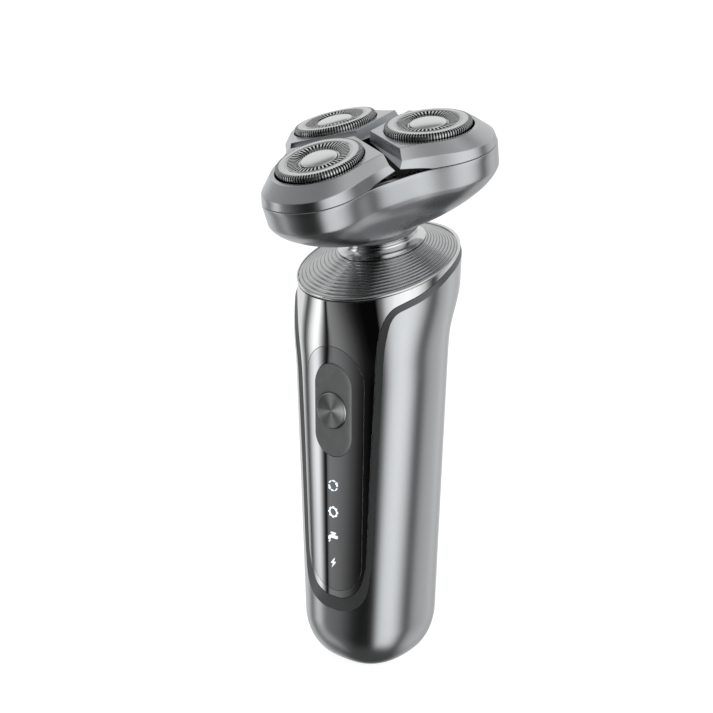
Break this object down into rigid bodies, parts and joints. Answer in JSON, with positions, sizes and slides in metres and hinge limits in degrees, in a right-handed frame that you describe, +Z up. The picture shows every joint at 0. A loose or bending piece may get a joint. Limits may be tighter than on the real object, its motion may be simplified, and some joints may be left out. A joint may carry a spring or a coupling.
{
  "type": "rotary electric shaver",
  "caption": "Cordless rotary shaver: upright tapered handle with button and indicator panel, and a tilted pull-off head with floating round cutters.",
  "frame": {"origin": "on the flat foot that the shaver stands on, below the centre of the rim at the top of the handle", "axes": "+Z up along the handle, -Y towards the front panel and power button, +X to the right seen from behind the front, so to the viewer's right when facing the panel"},
  "size_m": [0.0668, 0.0633, 0.1597],
  "materials": {
    "satin_shell": "satin metallic coat",
    "dark_chrome": "polished dark plate",
    "black_lens": "gloss",
    "grey_plastic": "matte",
    "spun_metal": "spun",
    "white_icon": "lit",
    "circuit_board": "satin",
    "dark_plastic": "matte",
    "steel_screw": "machined",
    "cell_wrap": "gloss sleeve",
    "nickel_strip": "bright",
    "bright_chrome": "polished",
    "grooved_metal": "gloss grooved",
    "seal_rubber": "matte",
    "bush_brass": "turned",
    "motor_can": "satin",
    "head_satin": "satin metallic coat",
    "gear_nylon": "satin",
    "cutter_steel": "polished",
    "cap_satin": "satin"
  },
  "bodies": {
    "handle": {"rear_shell": "satin_shell", "front_panel": "dark_chrome", "display_lens": "black_lens", "button_surround": "grey_plastic", "icon_windows": "white_icon", "control_board": "circuit_board", "indicator_leds": "white_icon", "tact_switch": "dark_plastic", "board_screws": "steel_screw", "inner_chassis": "dark_plastic", "battery_cell": "cell_wrap", "battery_tabs": "nickel_strip", "charge_socket": "nickel_strip", "top_deck": "grooved_metal", "rim_ring": "bright_chrome", "deck_gasket": "seal_rubber", "neck_collar": "bright_chrome", "neck_seal": "seal_rubber", "neck_bush": "bush_brass", "motor_mount": "dark_plastic", "drive_motor": "motor_can"},
    "power_button": {"power_button": "spun_metal"},
    "drive_shaft": {"motor_shaft": "steel_screw", "drive_coupling": "dark_plastic"},
    "head": {"head_base": "head_satin", "head_collar": "grey_plastic", "gear_tray": "dark_plastic", "gear_cover": "dark_plastic", "head_screws": "steel_screw", "hinge_pins": "steel_screw"},
    "drive_gear": {"drive_gear": "gear_nylon"},
    "cutter_gear_a": {"cutter_gear_a": "gear_nylon"},
    "cutter_frame_a": {"cutter_frame_a": "head_satin", "retainer_a": "dark_plastic"},
    "guard_a": {"guard_a": "cutter_steel", "guard_cap_a": "cap_satin"},
    "blade_a": {"blade_a": "cutter_steel"},
    "cutter_gear_b": {"cutter_gear_b": "gear_nylon"},
    "cutter_frame_b": {"cutter_frame_b": "head_satin", "retainer_b": "dark_plastic"},
    "guard_b": {"guard_b": "cutter_steel", "guard_cap_b": "cap_satin"},
    "blade_b": {"blade_b": "cutter_steel"},
    "cutter_gear_c": {"cutter_gear_c": "gear_nylon"},
    "cutter_frame_c": {"cutter_frame_c": "head_satin", "retainer_c": "dark_plastic"},
    "guard_c": {"guard_c": "cutter_steel", "guard_cap_c": "cap_satin"},
    "blade_c": {"blade_c": "cutter_steel"}
  },
  "joints": [
    {"name": "button_press", "type": "slide", "parent": "handle", "child": "power_button", "axis": [0, 1, 0], "range_m": [0, 0.0005], "stiffness_N_per_m": 900},
    {"name": "motor_spin", "type": "hinge", "parent": "handle", "child": "drive_shaft", "pos_m": [0, 0.00152, 0.12512], "axis": [0, -0.314, 0.9494], "continuous": true},
    {"name": "head_pull_off", "type": "slide", "parent": "handle", "child": "head", "axis": [0, -0.314, 0.9494], "range_m": [0, 0.03]},
    {"name": "drive_gear_spin", "type": "hinge", "parent": "head", "child": "drive_gear", "pos_m": [0, -0.0035, 0.14031], "axis": [0, -0.314, 0.9494], "continuous": true},
    {"name": "cutter_gear_a_spin", "type": "hinge", "parent": "head", "child": "cutter_gear_a", "pos_m": [0, -0.02059, 0.13466], "axis": [0, -0.314, 0.9494], "continuous": true},
    {"name": "cutter_frame_a_rock", "type": "hinge", "parent": "head", "child": "cutter_frame_a", "pos_m": [0, -0.02343, 0.14067], "axis": [-1, 0, 0], "range_deg": [0, 4], "stiffness_Nm_per_rad": 1.5},
    {"name": "guard_a_float", "type": "slide", "parent": "cutter_frame_a", "child": "guard_a", "axis": [0, 0.3907, -0.9205], "range_m": [0, 0.0008], "stiffness_N_per_m": 1200},
    {"name": "blade_a_spin", "type": "hinge", "parent": "guard_a", "child": "blade_a", "pos_m": [0, -0.02527, 0.14785], "axis": [0, -0.3907, 0.9205], "continuous": true},
    {"name": "cutter_gear_b_spin", "type": "hinge", "parent": "head", "child": "cutter_gear_b", "pos_m": [0.01559, 0.00504, 0.14313], "axis": [0, -0.314, 0.9494], "continuous": true},
    {"name": "cutter_frame_b_rock", "type": "hinge", "parent": "head", "child": "cutter_frame_b", "pos_m": [0.01628, 0.00335, 0.14953], "axis": [0.5, -0.8222, -0.2719], "range_deg": [0, 4], "stiffness_Nm_per_rad": 1.5},
    {"name": "guard_b_float", "type": "slide", "parent": "cutter_frame_b", "child": "guard_b", "axis": [-0.071, 0.274, -0.9591], "range_m": [0, 0.0008], "stiffness_N_per_m": 1200},
    {"name": "blade_b_spin", "type": "hinge", "parent": "guard_b", "child": "blade_b", "pos_m": [0.01585, 0.00079, 0.15647], "axis": [0.071, -0.274, 0.9591], "continuous": true},
    {"name": "cutter_gear_c_spin", "type": "hinge", "parent": "head", "child": "cutter_gear_c", "pos_m": [-0.01559, 0.00504, 0.14313], "axis": [0, -0.314, 0.9494], "continuous": true},
    {"name": "cutter_frame_c_rock", "type": "hinge", "parent": "head", "child": "cutter_frame_c", "pos_m": [-0.01628, 0.00335, 0.14953], "axis": [0.5, 0.8222, 0.2719], "range_deg": [0, 4], "stiffness_Nm_per_rad": 1.5},
    {"name": "guard_c_float", "type": "slide", "parent": "cutter_frame_c", "child": "guard_c", "axis": [0.071, 0.274, -0.9591], "range_m": [0, 0.0008], "stiffness_N_per_m": 1200},
    {"name": "blade_c_spin", "type": "hinge", "parent": "guard_c", "child": "blade_c", "pos_m": [-0.01585, 0.00079, 0.15647], "axis": [-0.071, -0.274, 0.9591], "continuous": true}
  ],
  "couplings": [
    {"joint": "drive_gear_spin", "follows": "motor_spin", "ratio": 1},
    {"joint": "cutter_gear_a_spin", "follows": "motor_spin", "ratio": -0.81818},
    {"joint": "blade_a_spin", "follows": "motor_spin", "ratio": -0.81818},
    {"joint": "cutter_gear_b_spin", "follows": "motor_spin", "ratio": -0.81818},
    {"joint": "blade_b_spin", "follows": "motor_spin", "ratio": -0.81818},
    {"joint": "cutter_gear_c_spin", "follows": "motor_spin", "ratio": -0.81818},
    {"joint": "blade_c_spin", "follows": "motor_spin", "ratio": -0.81818}
  ]
}
